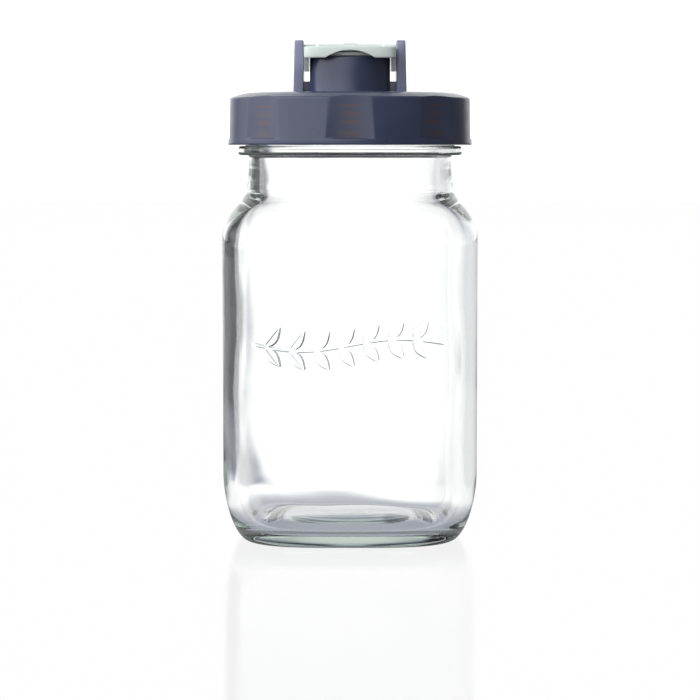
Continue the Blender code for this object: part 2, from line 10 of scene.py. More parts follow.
import bmesh
import bpy
import numpy as np
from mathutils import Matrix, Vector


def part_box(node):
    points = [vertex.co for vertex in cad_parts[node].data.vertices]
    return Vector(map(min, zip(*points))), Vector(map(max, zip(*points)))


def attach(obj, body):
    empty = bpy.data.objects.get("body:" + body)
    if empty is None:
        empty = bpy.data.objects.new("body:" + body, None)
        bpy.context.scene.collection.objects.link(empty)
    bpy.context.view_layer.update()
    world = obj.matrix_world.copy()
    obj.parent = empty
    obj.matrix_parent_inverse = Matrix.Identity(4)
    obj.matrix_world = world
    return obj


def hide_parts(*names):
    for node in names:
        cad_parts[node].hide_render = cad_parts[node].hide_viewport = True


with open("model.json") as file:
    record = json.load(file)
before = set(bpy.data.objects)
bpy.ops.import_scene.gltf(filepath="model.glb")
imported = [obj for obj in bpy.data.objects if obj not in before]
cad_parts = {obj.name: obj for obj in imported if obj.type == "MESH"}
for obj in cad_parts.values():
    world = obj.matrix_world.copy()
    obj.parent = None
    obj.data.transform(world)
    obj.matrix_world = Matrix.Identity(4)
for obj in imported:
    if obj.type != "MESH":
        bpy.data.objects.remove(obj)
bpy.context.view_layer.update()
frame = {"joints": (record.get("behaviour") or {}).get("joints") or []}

jar_low, jar_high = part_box("glass_jar")
ring_low, ring_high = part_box("lid_seal_ring")
lid_low, lid_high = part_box("screw_lid")
cap_low, cap_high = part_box("flip_cap")
plug_low, plug_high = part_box("spout_seal")
cap_joint = next(joint for joint in frame["joints"] if joint["name"] == "cap_flip")

MM = 0.001
FIT_GAP = 0.3 * MM
TOUCH = 0.01 * MM

# Glass body.
BODY_HALF_WIDTH = jar_high.x
RIM_Z = jar_high.z
BODY_SQUARENESS = 3.3
GLASS_WALL = 4.0 * MM
HEEL_HEIGHT = 24.0 * MM
HEEL_INSET = 8.5 * MM
HEEL_ROUNDNESS = 1.7
SHOULDER_Z = 112.5 * MM
SHOULDER_HEIGHT = 19.1 * MM
SHOULDER_NECK_PULL = 5.1 * MM
SHOULDER_BODY_PULL = 11.5 * MM
SHOULDER_INNER_DROP = 1.6 * MM
BEARING_WIDTH = 4.5 * MM
PUSH_UP_HEIGHT = 3.2 * MM
PUSH_UP_SLOPE = 6.0 * MM
FLOOR_THICKNESS = 5.4 * MM
FLOOR_DOME = 2.8 * MM
FLOOR_CORNER = 9.0 * MM
FLOOR_CORNER_DRAFT = 1.0 * MM

# The jar's rings have more points on the front, which carries the motif.
FRONT_START = -math.radians(137)
FRONT_END = -math.radians(43)
FRONT_COLUMNS = 320
OTHER_COLUMNS = 140

# Unevenness of the blown inner wall. Each wave: how many go round, radians per metre of height, phase, share.
WALL_UNEVENNESS = 0.22 * MM
WALL_WAVES = ((2, 85.0, 0.0, 1.0), (3, -130.0, 2.0, 0.7), (7, 210.0, 4.0, 0.35))
UNEVEN_TOP_Z = SHOULDER_Z + 4.0 * MM
UNEVEN_TOP_FADE = 12.0 * MM
UNEVEN_FOOT_Z = 12.0 * MM
UNEVEN_FOOT_FADE = 10.0 * MM

# Sprig on the front of the glass. Places along it are shares of its half length.
MOTIF_Z = 75.5 * MM
MOTIF_HALF_LENGTH = 36.0 * MM
MOTIF_HALF_HEIGHT = 13.0 * MM
MOTIF_RELIEF = 0.75 * MM
MOTIF_SWING = 2.2 * MM
STEM_HALF = 0.65 * MM
STEM_EDGE = 0.6 * STEM_HALF
STEM_TAPER = 3.0 * MM
LEAF_COUNT = 7
LEAF_FIRST = -0.86
LEAF_RUN = 1.5
LEAF_LEAN = math.radians(52)
LEAF_LENGTH = 9.5 * MM
LEAF_HALF_WIDTH = 2.3 * MM
LEAF_POINT = 0.8
LEAF_EDGE = 0.5 * MM
VEIN_DEPTH = 0.45
VEIN_HALF = 0.45 * MM
VEIN_EDGE = 0.35 * MM

# Glass neck, bead and finish, downwards from the rim.
MOUTH_RADIUS = 34.6 * MM
FINISH_RADIUS = 39.6 * MM
FINISH_HEIGHT = 15.1 * MM
RIM_ROUND = 1.6 * MM
BEAD_RADIUS = 42.4 * MM
BEAD_HEIGHT = 6.6 * MM
BEAD_EDGE = 1.2 * MM
BEAD_FILLET = 0.7 * MM
BEAD_RISE = 2.4 * MM
NECK_RADIUS = 38.2 * MM
NECK_ROOT_RADIUS = 39.2 * MM
NECK_HEIGHT = 9.4 * MM

# Screw thread.
THREAD_PITCH = 5.0 * MM
THREAD_TURNS = 1.5
THREAD_START = 3.9 * MM
THREAD_DEPTH = 2.4 * MM
THREAD_OVERLAP = 1.1 * MM
LID_THREAD_LEAD = 0.2
GLASS_RIDGE_HALF = 1.1 * MM
LID_RIDGE_HALF = 0.9 * MM
THREAD_FADE = 0.05

# Lid.
SKIRT_RADIUS = 46.1 * MM
SKIRT_WALL = 3.2 * MM
SKIRT_DRAFT = 0.4 * MM
SKIRT_FOOT_ROUND = 0.35 * MM
SKIRT_LEAD_IN = 0.7 * MM
DECK_THICKNESS = 2.6 * MM
CROWN_DROP = 1.8 * MM
CROWN_WIDTH = 9.5 * MM
CROWN_EDGE_PULL = 1.5 * MM
CROWN_EDGE_SHARE = 0.72
CROWN_DECK_PULL = 4.0 * MM
DECK_EDGE_ROUND = 1.0 * MM
FLUTE_COUNT = 8
FLUTE_HALF_ANGLE = math.radians(11.3)
FLUTE_DEPTH = 1.5 * MM
FLUTE_LEDGE = 2.1 * MM
FLUTE_LEDGE_RISE = 0.4 * MM
FLUTE_EDGE = 0.12 * MM
FLUTE_LIP = 0.1 * MM
FLUTE_LIP_INSET = 0.02 * MM

# Spacing of the lid's points, in degrees from a flute's edge.
FLUTE_NEAR_DEG = (0.06, 0.15, 0.27, 0.42, 0.65)
FLUTE_FLOOR_DEG = 1.2
FLUTE_LAND_DEG = 1.3

# Painted shade: brownish streaks that stand in for the thread and its shadows seen through the thin flutes.
# Height above the lid's foot, half width and strength of each streak.
PAINTED_SHADE_STREAKS = (
    (4.0 * MM, 2.2 * MM, 0.75),
    (8.3 * MM, 1.2 * MM, 1.0),
    (11.2 * MM, 1.8 * MM, 0.6),
    (14.2 * MM, 0.8 * MM, 0.9),
)
PAINTED_SHADE_STREAK_PITCH = THREAD_PITCH * 0.35

# Spout, ears and webs.
SPOUT_RADIUS = 15.2 * MM
SPOUT_WALL = 1.8 * MM
SPOUT_RIM_ROUND = 0.6 * MM
SPOUT_FOOT_ROUND = 0.8 * MM
EAR_INNER_X = 17.5 * MM
EAR_THICKNESS = 3.9 * MM
EAR_DRAFT = 0.5 * MM
EAR_FRONT = 4.0 * MM
EAR_BACK = 3.6 * MM
EAR_FRONT_ROUND = 1.9 * MM
EAR_EDGE = 0.45 * MM
EAR_TOP_BACK = 1.0 * MM
WEB_HEIGHT = 4.3 * MM
WEB_THICKNESS = 3.5 * MM
WEB_EDGE = 0.3 * MM

# Flip cap.
CAP_WALL = 1.7 * MM
CAP_PLATE = 1.7 * MM
CAP_HALF_WIDTH = 17.2 * MM
CAP_CORNER = 3.4 * MM
CAP_BOW = 0.9 * MM
CAP_EDGE = 0.55 * MM
CHEEK_FRONT_ROOT = 9.1 * MM
CHEEK_FRONT_TIP = 5.3 * MM
CHEEK_BACK_TIP = 8.4 * MM
BARREL_RADIUS = 2.0 * MM
PIN_RADIUS = 1.6 * MM
NOTCH_HALF_WIDTH = 9.3 * MM
NOTCH_RISE = 2.9 * MM
TAB_WIDTH = 4.1 * MM
TAB_SLOT_WIDTH = 0.8 * MM
TAB_SLOT_LENGTH = 8.5 * MM
NUB_WIDTH = 5.3 * MM
NUB_DEPTH = 1.6 * MM
NUB_CHAMFER_X = 0.4 * MM
NUB_CHAMFER_Z = 0.3 * MM
STUD_RADIUS = 3.0 * MM
STUD_DEPTH = 1.3 * MM
CAP_SKIRT_LAP = 0.7 * MM

# Seals.
SPOUT_SEAL_STAND = 1.6 * MM
SPOUT_SEAL_INSET = 1.6 * MM
SPOUT_SEAL_WALL = 1.4 * MM
RIM_SEAL_INSET = 0.4 * MM
SEAL_EDGE = 0.3 * MM

# Heights that follow.
FINISH_Z = RIM_Z - FINISH_HEIGHT
BEAD_Z = FINISH_Z - BEAD_HEIGHT
NECK_ROOT_Z = BEAD_Z - NECK_HEIGHT
LID_Z = lid_low.z
EAR_TOP_Z = lid_high.z
DECK_UNDER_Z = ring_high.z + FIT_GAP
DECK_Z = DECK_UNDER_Z + DECK_THICKNESS
SPOUT_TOP_Z = plug_high.z - SPOUT_SEAL_STAND
PIVOT_Y = cap_joint["pos_m"][1]
PIVOT_Z = cap_joint["pos_m"][2]
CAP_TOP_Z = PIVOT_Z
CAP_UNDER_Z = CAP_TOP_Z - CAP_PLATE
CAP_SKIRT_Z = SPOUT_TOP_Z - CAP_SKIRT_LAP
CHEEK_INNER_X = SPOUT_RADIUS + FIT_GAP
FOOT_HALF_WIDTH = BODY_HALF_WIDTH - HEEL_INSET
SKIRT_INNER_RADIUS = SKIRT_RADIUS - SKIRT_WALL


# ---------------------------------------------------------------- shapes


def bezier(start, pull_start, pull_end, end, steps):
    """Points along a cubic curve, without its first one."""
    t = np.arange(1, steps + 1)[:, None] / steps
    corners = [np.array(p) for p in (start, pull_start, pull_end, end)]
    weights = ((1 - t) ** 3, 3 * t * (1 - t) ** 2, 3 * t * t * (1 - t), t**3)
    return [tuple(p) for p in sum(w * c for w, c in zip(weights, corners))]


def arc(centre, radius, start_deg, end_deg, steps):
    """Points along a circular arc, both ends included."""
    angles = np.radians(np.linspace(start_deg, end_deg, steps + 1))
    return [(centre[0] + radius * math.cos(a), centre[1] + radius * math.sin(a)) for a in angles]


def line(start, end, steps):
    """Points along a straight run, without its first one."""
    start, end = np.array(start), np.array(end)
    return [tuple(start + (end - start) * i / steps) for i in range(1, steps + 1)]


def skin(name, rings, closed_loop):
    """A surface through stacked rings of points. The last joins the first, or both ends close on a point."""
    count, around = rings.shape[:2]
    points = rings.reshape(-1, 3)
    along = np.arange(around)
    after = (along + 1) % around
    faces = []
    for row in range(count if closed_loop else count - 1):
        low, high = row * around, (row + 1) % count * around
        faces += np.stack([low + along, low + after, high + after, high + along], axis=1).tolist()
    if not closed_loop:
        first, last = len(points), len(points) + 1
        points = np.vstack([points, rings[0].mean(axis=0), rings[-1].mean(axis=0)])
        top = (count - 1) * around
        faces += [(int(b), int(a), first) for a, b in zip(along, after)]
        faces += [(int(top + a), int(top + b), last) for a, b in zip(along, after)]
    mesh = bpy.data.meshes.new(name)
    mesh.from_pydata(points.tolist(), [], faces)
    return placed(name, mesh)


def placed(name, mesh):
    """The mesh as an object, its faces pointing out."""
    bm = bmesh.new()
    bm.from_mesh(mesh)
    bm.normal_update()
    bmesh.ops.recalc_face_normals(bm, faces=bm.faces)
    bm.to_mesh(mesh)
    bm.free()
    obj = bpy.data.objects.new(name, mesh)
    bpy.context.scene.collection.objects.link(obj)
    return obj


def shade(obj, angle_deg=40):
    obj.data.shade_smooth()
    obj.data.set_sharp_from_angle(angle=math.radians(angle_deg))


def rings_at(outline, angles, squareness):
    """Rings in plan for each (half width, z): circles at squareness 2, squarer above that."""
    c, s = np.cos(angles), np.sin(angles)
    rings = []
    for half_width, z in outline:
        n = squareness(z)
        reach = half_width / (np.abs(c) ** n + np.abs(s) ** n) ** (1 / n)
        rings.append(np.stack([reach * c, reach * s, np.full_like(c, z)], axis=1))
    return np.array(rings)


def turned(name, profile, segments):
    """A ring-shaped solid of revolution about Z from a closed (radius, z) outline."""
    angles = np.linspace(0, 2 * math.pi, segments, endpoint=False)
    made = skin(name, rings_at(profile, angles, lambda z: 2.0), True)
    shade(made)
    return made


def extruded(name, outline, place, low, high):
    """A prism: place(u, v, w) puts the outline's points at each end, w being low or high."""
    count = len(outline)
    points = [place(u, v, w) for w in (low, high) for u, v in outline]
    faces = [(i, (i + 1) % count, count + (i + 1) % count, count + i) for i in range(count)]
    faces += [tuple(range(count)), tuple(range(count, 2 * count))]
    mesh = bpy.data.meshes.new(name)
    mesh.from_pydata(points, [], faces)
    return placed(name, mesh)


def upright(u, v, w):
    return (u, v, w)


def sideways(u, v, w):
    """An outline in the YZ plane, extruded along X."""
    return (w, u, v)


def frontways(u, v, w):
    """An outline in the XZ plane, extruded along Y."""
    return (u, w, v)


def rod(name, radius, low_x, high_x, segments):
    """A round bar along the cap's hinge axis."""
    return extruded(name, arc((PIVOT_Y, PIVOT_Z), radius, 0, 360, segments)[:-1], sideways, low_x, high_x)


def mirrored(name, source):
    """The same shape on the other side of the YZ plane."""
    mesh = source.data.copy()
    for vert in mesh.vertices:
        vert.co.x = -vert.co.x
    return placed(name, mesh)


def combine(target, helper, operation):
    """A Boolean on the target. The helper stays out of the render."""
    helper.hide_render = True
    helper.display_type = "WIRE"
    boolean = target.modifiers.new(helper.name, "BOOLEAN")
    boolean.operation = operation
    boolean.solver = "EXACT"
    boolean.object = helper


def soften_edges(obj, width, segments, angle_deg):
    bevel = obj.modifiers.new("edge", "BEVEL")
    bevel.width = width
    bevel.segments = segments
    bevel.limit_method = "ANGLE"
    bevel.angle_limit = math.radians(angle_deg)


def baked(obj):
    """Applies the object's modifiers and drops their helpers."""
    helpers = [m.object for m in obj.modifiers if m.type == "BOOLEAN"]
    graph = bpy.context.evaluated_depsgraph_get()
    mesh = bpy.data.meshes.new_from_object(obj.evaluated_get(graph), depsgraph=graph)
    obj.modifiers.clear()
    obj.data = mesh
    for helper in helpers:
        bpy.data.objects.remove(helper, do_unlink=True)


def smooth_step(x):
    x = np.clip(x, 0, 1)
    return x * x * (3 - 2 * x)


def ridge(angles, z, base_z, lead_turns, half):
    """Height, from 0 to 1, of a thread ridge at each angle on a ring at height z."""
    height = np.zeros_like(angles)
    for lap in range(3):
        turns = np.mod(angles, 2 * math.pi) / (2 * math.pi) + lap
        along = (turns - lead_turns) / THREAD_TURNS
        fade = smooth_step(along / THREAD_FADE) * smooth_step((1 - along) / THREAD_FADE)
        away = np.abs(z - base_z - THREAD_PITCH * turns)
        height = np.maximum(height, fade * smooth_step((half - away) / (half / 2)))
    return height


# ---------------------------------------------------------------- materials


# Each plastic and rubber drifts slowly between two colours.
SLATE = ((0.040, 0.052, 0.106), (0.055, 0.067, 0.130))
# The ears' slate is the lid's plastic made lighter: painted light, as though lit through its thin walls.
SLATE_PAINTED_LIGHTER = ((0.250, 0.272, 0.410), (0.265, 0.285, 0.415))
MINT = ((0.73, 0.82, 0.78), (0.77, 0.85, 0.81))
PALE_SILICONE = ((0.60, 0.64, 0.58), (0.66, 0.69, 0.63))
GREY_SEAL = ((0.27, 0.28, 0.30), (0.33, 0.34, 0.36))
# Painted shade of the thread and its shadows behind the lid's thin flutes.
PAINTED_SHADE_STREAK_COLOUR = (0.098, 0.060, 0.062)
CLEAR = (1.0, 1.0, 1.0, 1.0)

# The range that most of a noise lies in. Noise scales are lumps to the metre.
NOISE_LOW = 0.3
NOISE_HIGH = 0.7

PLASTIC_IOR = 1.49
PLASTIC_SPECULAR = 0.3
PLASTIC_COAT = 0.45
PLASTIC_COAT_ROUGHNESS = 0.12
PLASTIC_EDGE = 0.2 * MM
PLASTIC_DRIFT_SCALE = 55.0
PLASTIC_GLOSS_SCALE = 240.0
PLASTIC_GLOSS_SWING = 0.05
PLASTIC_GRAIN_BUMP = (0.35, 0.04 * MM)
PLASTIC_WAVE_SCALE = 90.0
PLASTIC_WAVE_BUMP = (0.25, 0.06 * MM)
PLASTIC_GLOW_REACH = 1.2 * MM
PLASTIC_GLOW_COLOUR = (1.0, 0.8, 0.7)

GLASS_IOR = 1.5
GLASS_ROUGHNESS_MAX = 0.012
GLASS_GLOSS_SCALE = 60.0
GLASS_WAVE_SCALE = 38.0
GLASS_WAVE_BUMP = (0.10, 0.5 * MM)
GLASS_RIPPLE_SCALE = 170.0
GLASS_RIPPLE_BUMP = (0.03, 0.3 * MM)
GLASS_TINT = (0.46, 0.56, 0.49, 1.0)
GLASS_TINT_DENSITY = 17.0

RUBBER_MOTTLE_SCALE = 320.0
RUBBER_GLOSS_SCALE = 500.0
RUBBER_GLOSS_SWING = 0.07
RUBBER_PIT_SCALE = 1800.0
RUBBER_PIT_BUMP = (0.2, 0.03 * MM)


class Nodes:
    """A small helper that adds and links shader nodes."""

    def __init__(self, tree):
        self.tree = tree

    def add(self, kind, inputs=None, **settings):
        node = self.tree.nodes.new(kind)
        for key, value in settings.items():
            setattr(node, key, value)
        for key, value in (inputs or {}).items():
            if isinstance(value, bpy.types.NodeSocket):
                self.tree.links.new(value, node.inputs[key])
            else:
                node.inputs[key].default_value = value
        return node

    def link(self, socket_out, socket_in):
        self.tree.links.new(socket_out, socket_in)


def new_material(name):
    made = bpy.data.materials.new(name)
    made.use_nodes = True
    return made, Nodes(made.node_tree), made.node_tree.nodes["Principled BSDF"]


def noise(nodes, scale, detail=3.0):
    """Noise fixed to the piece, with about scale lumps to the metre."""
    place = nodes.add("ShaderNodeTexCoord").outputs["Object"]
    return nodes.add("ShaderNodeTexNoise", {"Vector": place, "Scale": scale, "Detail": detail}).outputs["Fac"]


def spread(nodes, value, low, high):
    """Maps a noise, which keeps near its middle, on to the range from low to high."""
    inputs = {"Value": value, "From Min": NOISE_LOW, "From Max": NOISE_HIGH, "To Min": low, "To Max": high}
    return nodes.add("ShaderNodeMapRange", inputs).outputs["Result"]


def mixed(nodes, factor, first, second):
    """A colour between two, each a socket or plain values."""
    mix = nodes.add("ShaderNodeMix", data_type="RGBA")
    nodes.link(factor, mix.inputs[0])
    for index, colour in ((6, first), (7, second)):
        if isinstance(colour, bpy.types.NodeSocket):
            nodes.link(colour, mix.inputs[index])
        else:
            mix.inputs[index].default_value = (*colour, 1.0)
    return mix.outputs[2]


def bumped(nodes, height, strength, distance, under=None):
    bump = nodes.add("ShaderNodeBump", {"Height": height, "Strength": strength, "Distance": distance})
    if under:
        nodes.link(under, bump.inputs["Normal"])
    return bump.outputs["Normal"]


def moulded_plastic(name, colours, roughness, subsurface, grain):
    """Satin polypropylene: slow colour drift, uneven gloss, a fine grain and rounded edges."""
    made, nodes, shader = new_material(name)
    drift = spread(nodes, noise(nodes, PLASTIC_DRIFT_SCALE), 0.0, 1.0)
    nodes.link(mixed(nodes, drift, *colours), shader.inputs["Base Color"])
    uneven = noise(nodes, PLASTIC_GLOSS_SCALE, 5.0)
    gloss = spread(nodes, uneven, roughness - PLASTIC_GLOSS_SWING, roughness + PLASTIC_GLOSS_SWING)
    nodes.link(gloss, shader.inputs["Roughness"])
    round_edges = nodes.add("ShaderNodeBevel", {"Radius": PLASTIC_EDGE}, samples=4).outputs["Normal"]
    fine = bumped(nodes, noise(nodes, 1 / grain, 2.0), *PLASTIC_GRAIN_BUMP, round_edges)
    waves = bumped(nodes, noise(nodes, PLASTIC_WAVE_SCALE, 1.0), *PLASTIC_WAVE_BUMP, fine)
    nodes.link(waves, shader.inputs["Normal"])
    shader.inputs["IOR"].default_value = PLASTIC_IOR
    shader.inputs["Specular IOR Level"].default_value = PLASTIC_SPECULAR
    shader.inputs["Coat Weight"].default_value = PLASTIC_COAT
    shader.inputs["Coat Roughness"].default_value = PLASTIC_COAT_ROUGHNESS
    shader.inputs["Subsurface Weight"].default_value = subsurface
    shader.inputs["Subsurface Radius"].default_value = PLASTIC_GLOW_COLOUR
    shader.inputs["Subsurface Scale"].default_value = PLASTIC_GLOW_REACH
    return made


def slate_plastic():
    """The lid's plastic. Where the wall is thin, painted shade shows the thread behind it as brownish
    streaks.
    """
    made = moulded_plastic("slate_plastic", SLATE, roughness=0.32, subsurface=0.0, grain=0.35 * MM)
    nodes = Nodes(made.node_tree)
    colour = made.node_tree.nodes["Principled BSDF"].inputs["Base Color"]
    painted_thread_shade = nodes.add("ShaderNodeAttribute", attribute_name="painted_thread_shade").outputs["Fac"]
    nodes.link(mixed(nodes, painted_thread_shade, colour.links[0].from_socket, PAINTED_SHADE_STREAK_COLOUR), colour)
    return made


def slate_plastic_painted_lighter():
    """The ears' plastic: the lid's slate, with some real light through its thin walls, and a lighter colour
    that is painted light.
    """
    return moulded_plastic("slate_plastic_painted_lighter", SLATE_PAINTED_LIGHTER, roughness=0.30, subsurface=0.4, grain=0.35 * MM)


def clear_glass():
    """Clear soda-lime glass: gently wavy from the mould, with a green tint that deepens with thickness."""
    made, nodes, shader = new_material("clear_glass")
    shader.inputs["Base Color"].default_value = CLEAR
    shader.inputs["Transmission Weight"].default_value = 1.0
    shader.inputs["IOR"].default_value = GLASS_IOR
    gloss = spread(nodes, noise(nodes, GLASS_GLOSS_SCALE), 0.0, GLASS_ROUGHNESS_MAX)
    nodes.link(gloss, shader.inputs["Roughness"])
    waves = bumped(nodes, noise(nodes, GLASS_WAVE_SCALE, 1.0), *GLASS_WAVE_BUMP)
    ripples = bumped(nodes, noise(nodes, GLASS_RIPPLE_SCALE, 1.0), *GLASS_RIPPLE_BUMP, waves)
    nodes.link(ripples, shader.inputs["Normal"])
    tint = nodes.add("ShaderNodeVolumeAbsorption", {"Color": GLASS_TINT, "Density": GLASS_TINT_DENSITY})
    output = made.node_tree.nodes["Material Output"]
    nodes.link(tint.outputs["Volume"], output.inputs["Volume"])
    return made


def soft_rubber(name, colours, roughness):
    """Silicone or sealing foam: matt, faintly mottled, with a fine pitted surface."""
    made, nodes, shader = new_material(name)
    mottle = spread(nodes, noise(nodes, RUBBER_MOTTLE_SCALE, 4.0), 0.0, 1.0)
    nodes.link(mixed(nodes, mottle, *colours), shader.inputs["Base Color"])
    uneven = noise(nodes, RUBBER_GLOSS_SCALE)
    gloss = spread(nodes, uneven, roughness - RUBBER_GLOSS_SWING, roughness + RUBBER_GLOSS_SWING)
    nodes.link(gloss, shader.inputs["Roughness"])
    nodes.link(bumped(nodes, noise(nodes, RUBBER_PIT_SCALE, 2.0), *RUBBER_PIT_BUMP), shader.inputs["Normal"])
    return made


def finished(obj, material, body, slot, *nodes):
    """Gives a piece its material, its body and the CAD nodes it stands for. The slot is not used."""
    obj.data.materials.clear()
    obj.data.materials.append(material)
    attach(obj, body)
    if nodes:
        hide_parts(*nodes)


# ---------------------------------------------------------------- glass jar


def squareness_at(z):
    """Round above the shoulder, a squircle below it."""
    return 2.0 + (BODY_SQUARENESS - 2.0) * smooth_step((NECK_ROOT_Z - z) / SHOULDER_HEIGHT)


def stem_z(x):
    return MOTIF_Z + MOTIF_SWING * np.sin(math.pi * x / MOTIF_HALF_LENGTH)


def motif(x, z):
    """Relief, from 0 to 1, of a plain leafy sprig that lies across the front."""
    reach = smooth_step((MOTIF_HALF_LENGTH - np.abs(x)) / STEM_TAPER)
    height = smooth_step((STEM_HALF - np.abs(z - stem_z(x))) / STEM_EDGE) * reach
    for k in range(LEAF_COUNT):
        root_x = MOTIF_HALF_LENGTH * (LEAF_FIRST + LEAF_RUN * k / (LEAF_COUNT - 1))
        root_z = stem_z(root_x)
        for side in (-1, 1):
            lean = LEAF_LEAN * side
            along = (x - root_x) * math.cos(lean) + (z - root_z) * math.sin(lean)
            across = (z - root_z) * math.cos(lean) - (x - root_x) * math.sin(lean)
            share = along / LEAF_LENGTH
            inside = np.clip(share, 0, 1)
            half = LEAF_HALF_WIDTH * np.sin(math.pi * inside**LEAF_POINT)
            body = smooth_step((half - np.abs(across)) / LEAF_EDGE) * ((share > 0) & (share < 1))
            vein = VEIN_DEPTH * smooth_step((VEIN_HALF - np.abs(across)) / VEIN_EDGE)
            height = np.maximum(height, body * (1 - vein))
    return height


def jar_outside():
    """Half widths and heights, from the middle of the underside up to the rim."""
    bearing_inner = FOOT_HALF_WIDTH - BEARING_WIDTH
    push_up = bearing_inner - PUSH_UP_SLOPE
    outline = [(push_up * share, PUSH_UP_HEIGHT) for share in (0.25, 0.5, 0.75)]
    outline += bezier(
        (push_up * 0.75, PUSH_UP_HEIGHT),
        (push_up, PUSH_UP_HEIGHT),
        (bearing_inner - PUSH_UP_SLOPE / 3, 0.0),
        (bearing_inner, 0.0),
        10,
    )
    outline += line((bearing_inner, 0.0), (FOOT_HALF_WIDTH, 0.0), 3)
    steps = 26
    for i in range(1, steps + 1):
        drop = math.sin(0.5 * math.pi * (1 - i / steps))
        reach = (1 - drop**HEEL_ROUNDNESS) ** (1 / HEEL_ROUNDNESS)
        outline.append((FOOT_HALF_WIDTH + HEEL_INSET * reach, HEEL_HEIGHT * (1 - drop)))
    low, high = MOTIF_Z - MOTIF_HALF_HEIGHT, MOTIF_Z + MOTIF_HALF_HEIGHT
    outline += line((BODY_HALF_WIDTH, HEEL_HEIGHT), (BODY_HALF_WIDTH, low), 8)
    outline += line((BODY_HALF_WIDTH, low), (BODY_HALF_WIDTH, high), 96)
    outline += line((BODY_HALF_WIDTH, high), (BODY_HALF_WIDTH, SHOULDER_Z), 6)
    outline += bezier(
        (BODY_HALF_WIDTH, SHOULDER_Z),
        (BODY_HALF_WIDTH, SHOULDER_Z + SHOULDER_BODY_PULL),
        (NECK_ROOT_RADIUS, NECK_ROOT_Z - SHOULDER_NECK_PULL),
        (NECK_ROOT_RADIUS, NECK_ROOT_Z),
        24,
    )
    bead_root_z = BEAD_Z + BEAD_RISE
    outline += bezier(
        (NECK_ROOT_RADIUS, NECK_ROOT_Z),
        (NECK_ROOT_RADIUS, NECK_ROOT_Z + NECK_HEIGHT / 3),
        (NECK_RADIUS, bead_root_z - NECK_HEIGHT / 2),
        (NECK_RADIUS, bead_root_z),
        8,
    )
    side_z = FINISH_Z - BEAD_EDGE
    outline += arc((NECK_RADIUS + BEAD_FILLET, bead_root_z), BEAD_FILLET, 170, 90, 6)
    low_edge = (BEAD_RADIUS - BEAD_EDGE, bead_root_z + BEAD_FILLET + BEAD_EDGE)
    outline += line(outline[-1], (low_edge[0], bead_root_z + BEAD_FILLET), 2)
    outline += arc(low_edge, BEAD_EDGE, -75, 0, 6)
    outline += line(outline[-1], (BEAD_RADIUS, side_z), 2)
    outline += arc((BEAD_RADIUS - BEAD_EDGE, side_z), BEAD_EDGE, 12, 90, 6)
    outline += line((BEAD_RADIUS - BEAD_EDGE, FINISH_Z), (FINISH_RADIUS, FINISH_Z), 2)
    outline += line((FINISH_RADIUS, FINISH_Z), (FINISH_RADIUS, RIM_Z - RIM_ROUND), 40)
    outline += arc((FINISH_RADIUS - RIM_ROUND, RIM_Z - RIM_ROUND), RIM_ROUND, 10, 90, 7)
    return outline


def jar_inside():
    """Half widths and heights, from the rim down to the middle of the floor."""
    outline = arc((MOUTH_RADIUS + RIM_ROUND, RIM_Z - RIM_ROUND), RIM_ROUND, 90, 180, 7)
    inner_half_width = BODY_HALF_WIDTH - GLASS_WALL
    inner_root_z = NECK_ROOT_Z - SHOULDER_INNER_DROP
    inner_shoulder_z = SHOULDER_Z - SHOULDER_INNER_DROP
    outline += line((MOUTH_RADIUS, RIM_Z - RIM_ROUND), (MOUTH_RADIUS, inner_root_z), 8)
    outline += bezier(
        (MOUTH_RADIUS, inner_root_z),
        (MOUTH_RADIUS, inner_root_z - SHOULDER_NECK_PULL),
        (inner_half_width, inner_shoulder_z + SHOULDER_BODY_PULL),
        (inner_half_width, inner_shoulder_z),
        20,
    )
    outline += line((inner_half_width, inner_shoulder_z), (inner_half_width, HEEL_HEIGHT), 8)
    floor_half_width = FOOT_HALF_WIDTH - GLASS_WALL
    outline += bezier(
        (inner_half_width, HEEL_HEIGHT),
        (inner_half_width - FLOOR_CORNER_DRAFT, FLOOR_THICKNESS + FLOOR_CORNER / 2),
        (floor_half_width + FLOOR_CORNER / 2, FLOOR_THICKNESS),
        (floor_half_width, FLOOR_THICKNESS),
        18,
    )
    steps = 12
    for i in range(1, steps):
        share = 1 - i / steps
        outline.append((floor_half_width * share, FLOOR_THICKNESS + FLOOR_DOME * (1 - share**2)))
    return outline


def unevenness(angles, z):
    """How much the blown inner wall stands in from its even line."""
    fade = smooth_step((UNEVEN_TOP_Z - z) / UNEVEN_TOP_FADE)
    fade *= smooth_step((z - UNEVEN_FOOT_Z) / UNEVEN_FOOT_FADE)
    waves = sum(part * np.sin(count * angles + turn * z + phase) for count, turn, phase, part in WALL_WAVES)
    return WALL_UNEVENNESS * fade * waves


def make_jar(glass):
    front = np.linspace(FRONT_START, FRONT_END, FRONT_COLUMNS, endpoint=False)
    rest = np.linspace(FRONT_END, FRONT_START + 2 * math.pi, OTHER_COLUMNS, endpoint=False)
    angles = np.concatenate([front, rest])
    outside = rings_at(jar_outside(), angles, squareness_at)
    for row in outside:
        z = row[0, 2]
        if FINISH_Z + FIT_GAP < z < RIM_Z - RIM_ROUND / 2:
            height = THREAD_DEPTH * ridge(angles, z, FINISH_Z + THREAD_START, 0.0, GLASS_RIDGE_HALF)
            row[:, :2] *= (1 + height / FINISH_RADIUS)[:, None]
        if abs(z - MOTIF_Z) < MOTIF_HALF_HEIGHT:
            on_front = row[:, 1] < -BODY_HALF_WIDTH / 2
            row[:, 1] -= MOTIF_RELIEF * motif(row[:, 0], z) * on_front
    inside = rings_at(jar_inside(), angles, squareness_at)
    for row in inside:
        row[:, :2] *= (1 - unevenness(angles, row[0, 2]) / BODY_HALF_WIDTH)[:, None]
    jar = skin("glass_jar_body", np.concatenate([outside, inside]), False)
    jar.data.shade_smooth()
    finished(jar, glass, "jar", "clear_glass", "glass_jar")


# ---------------------------------------------------------------- lid


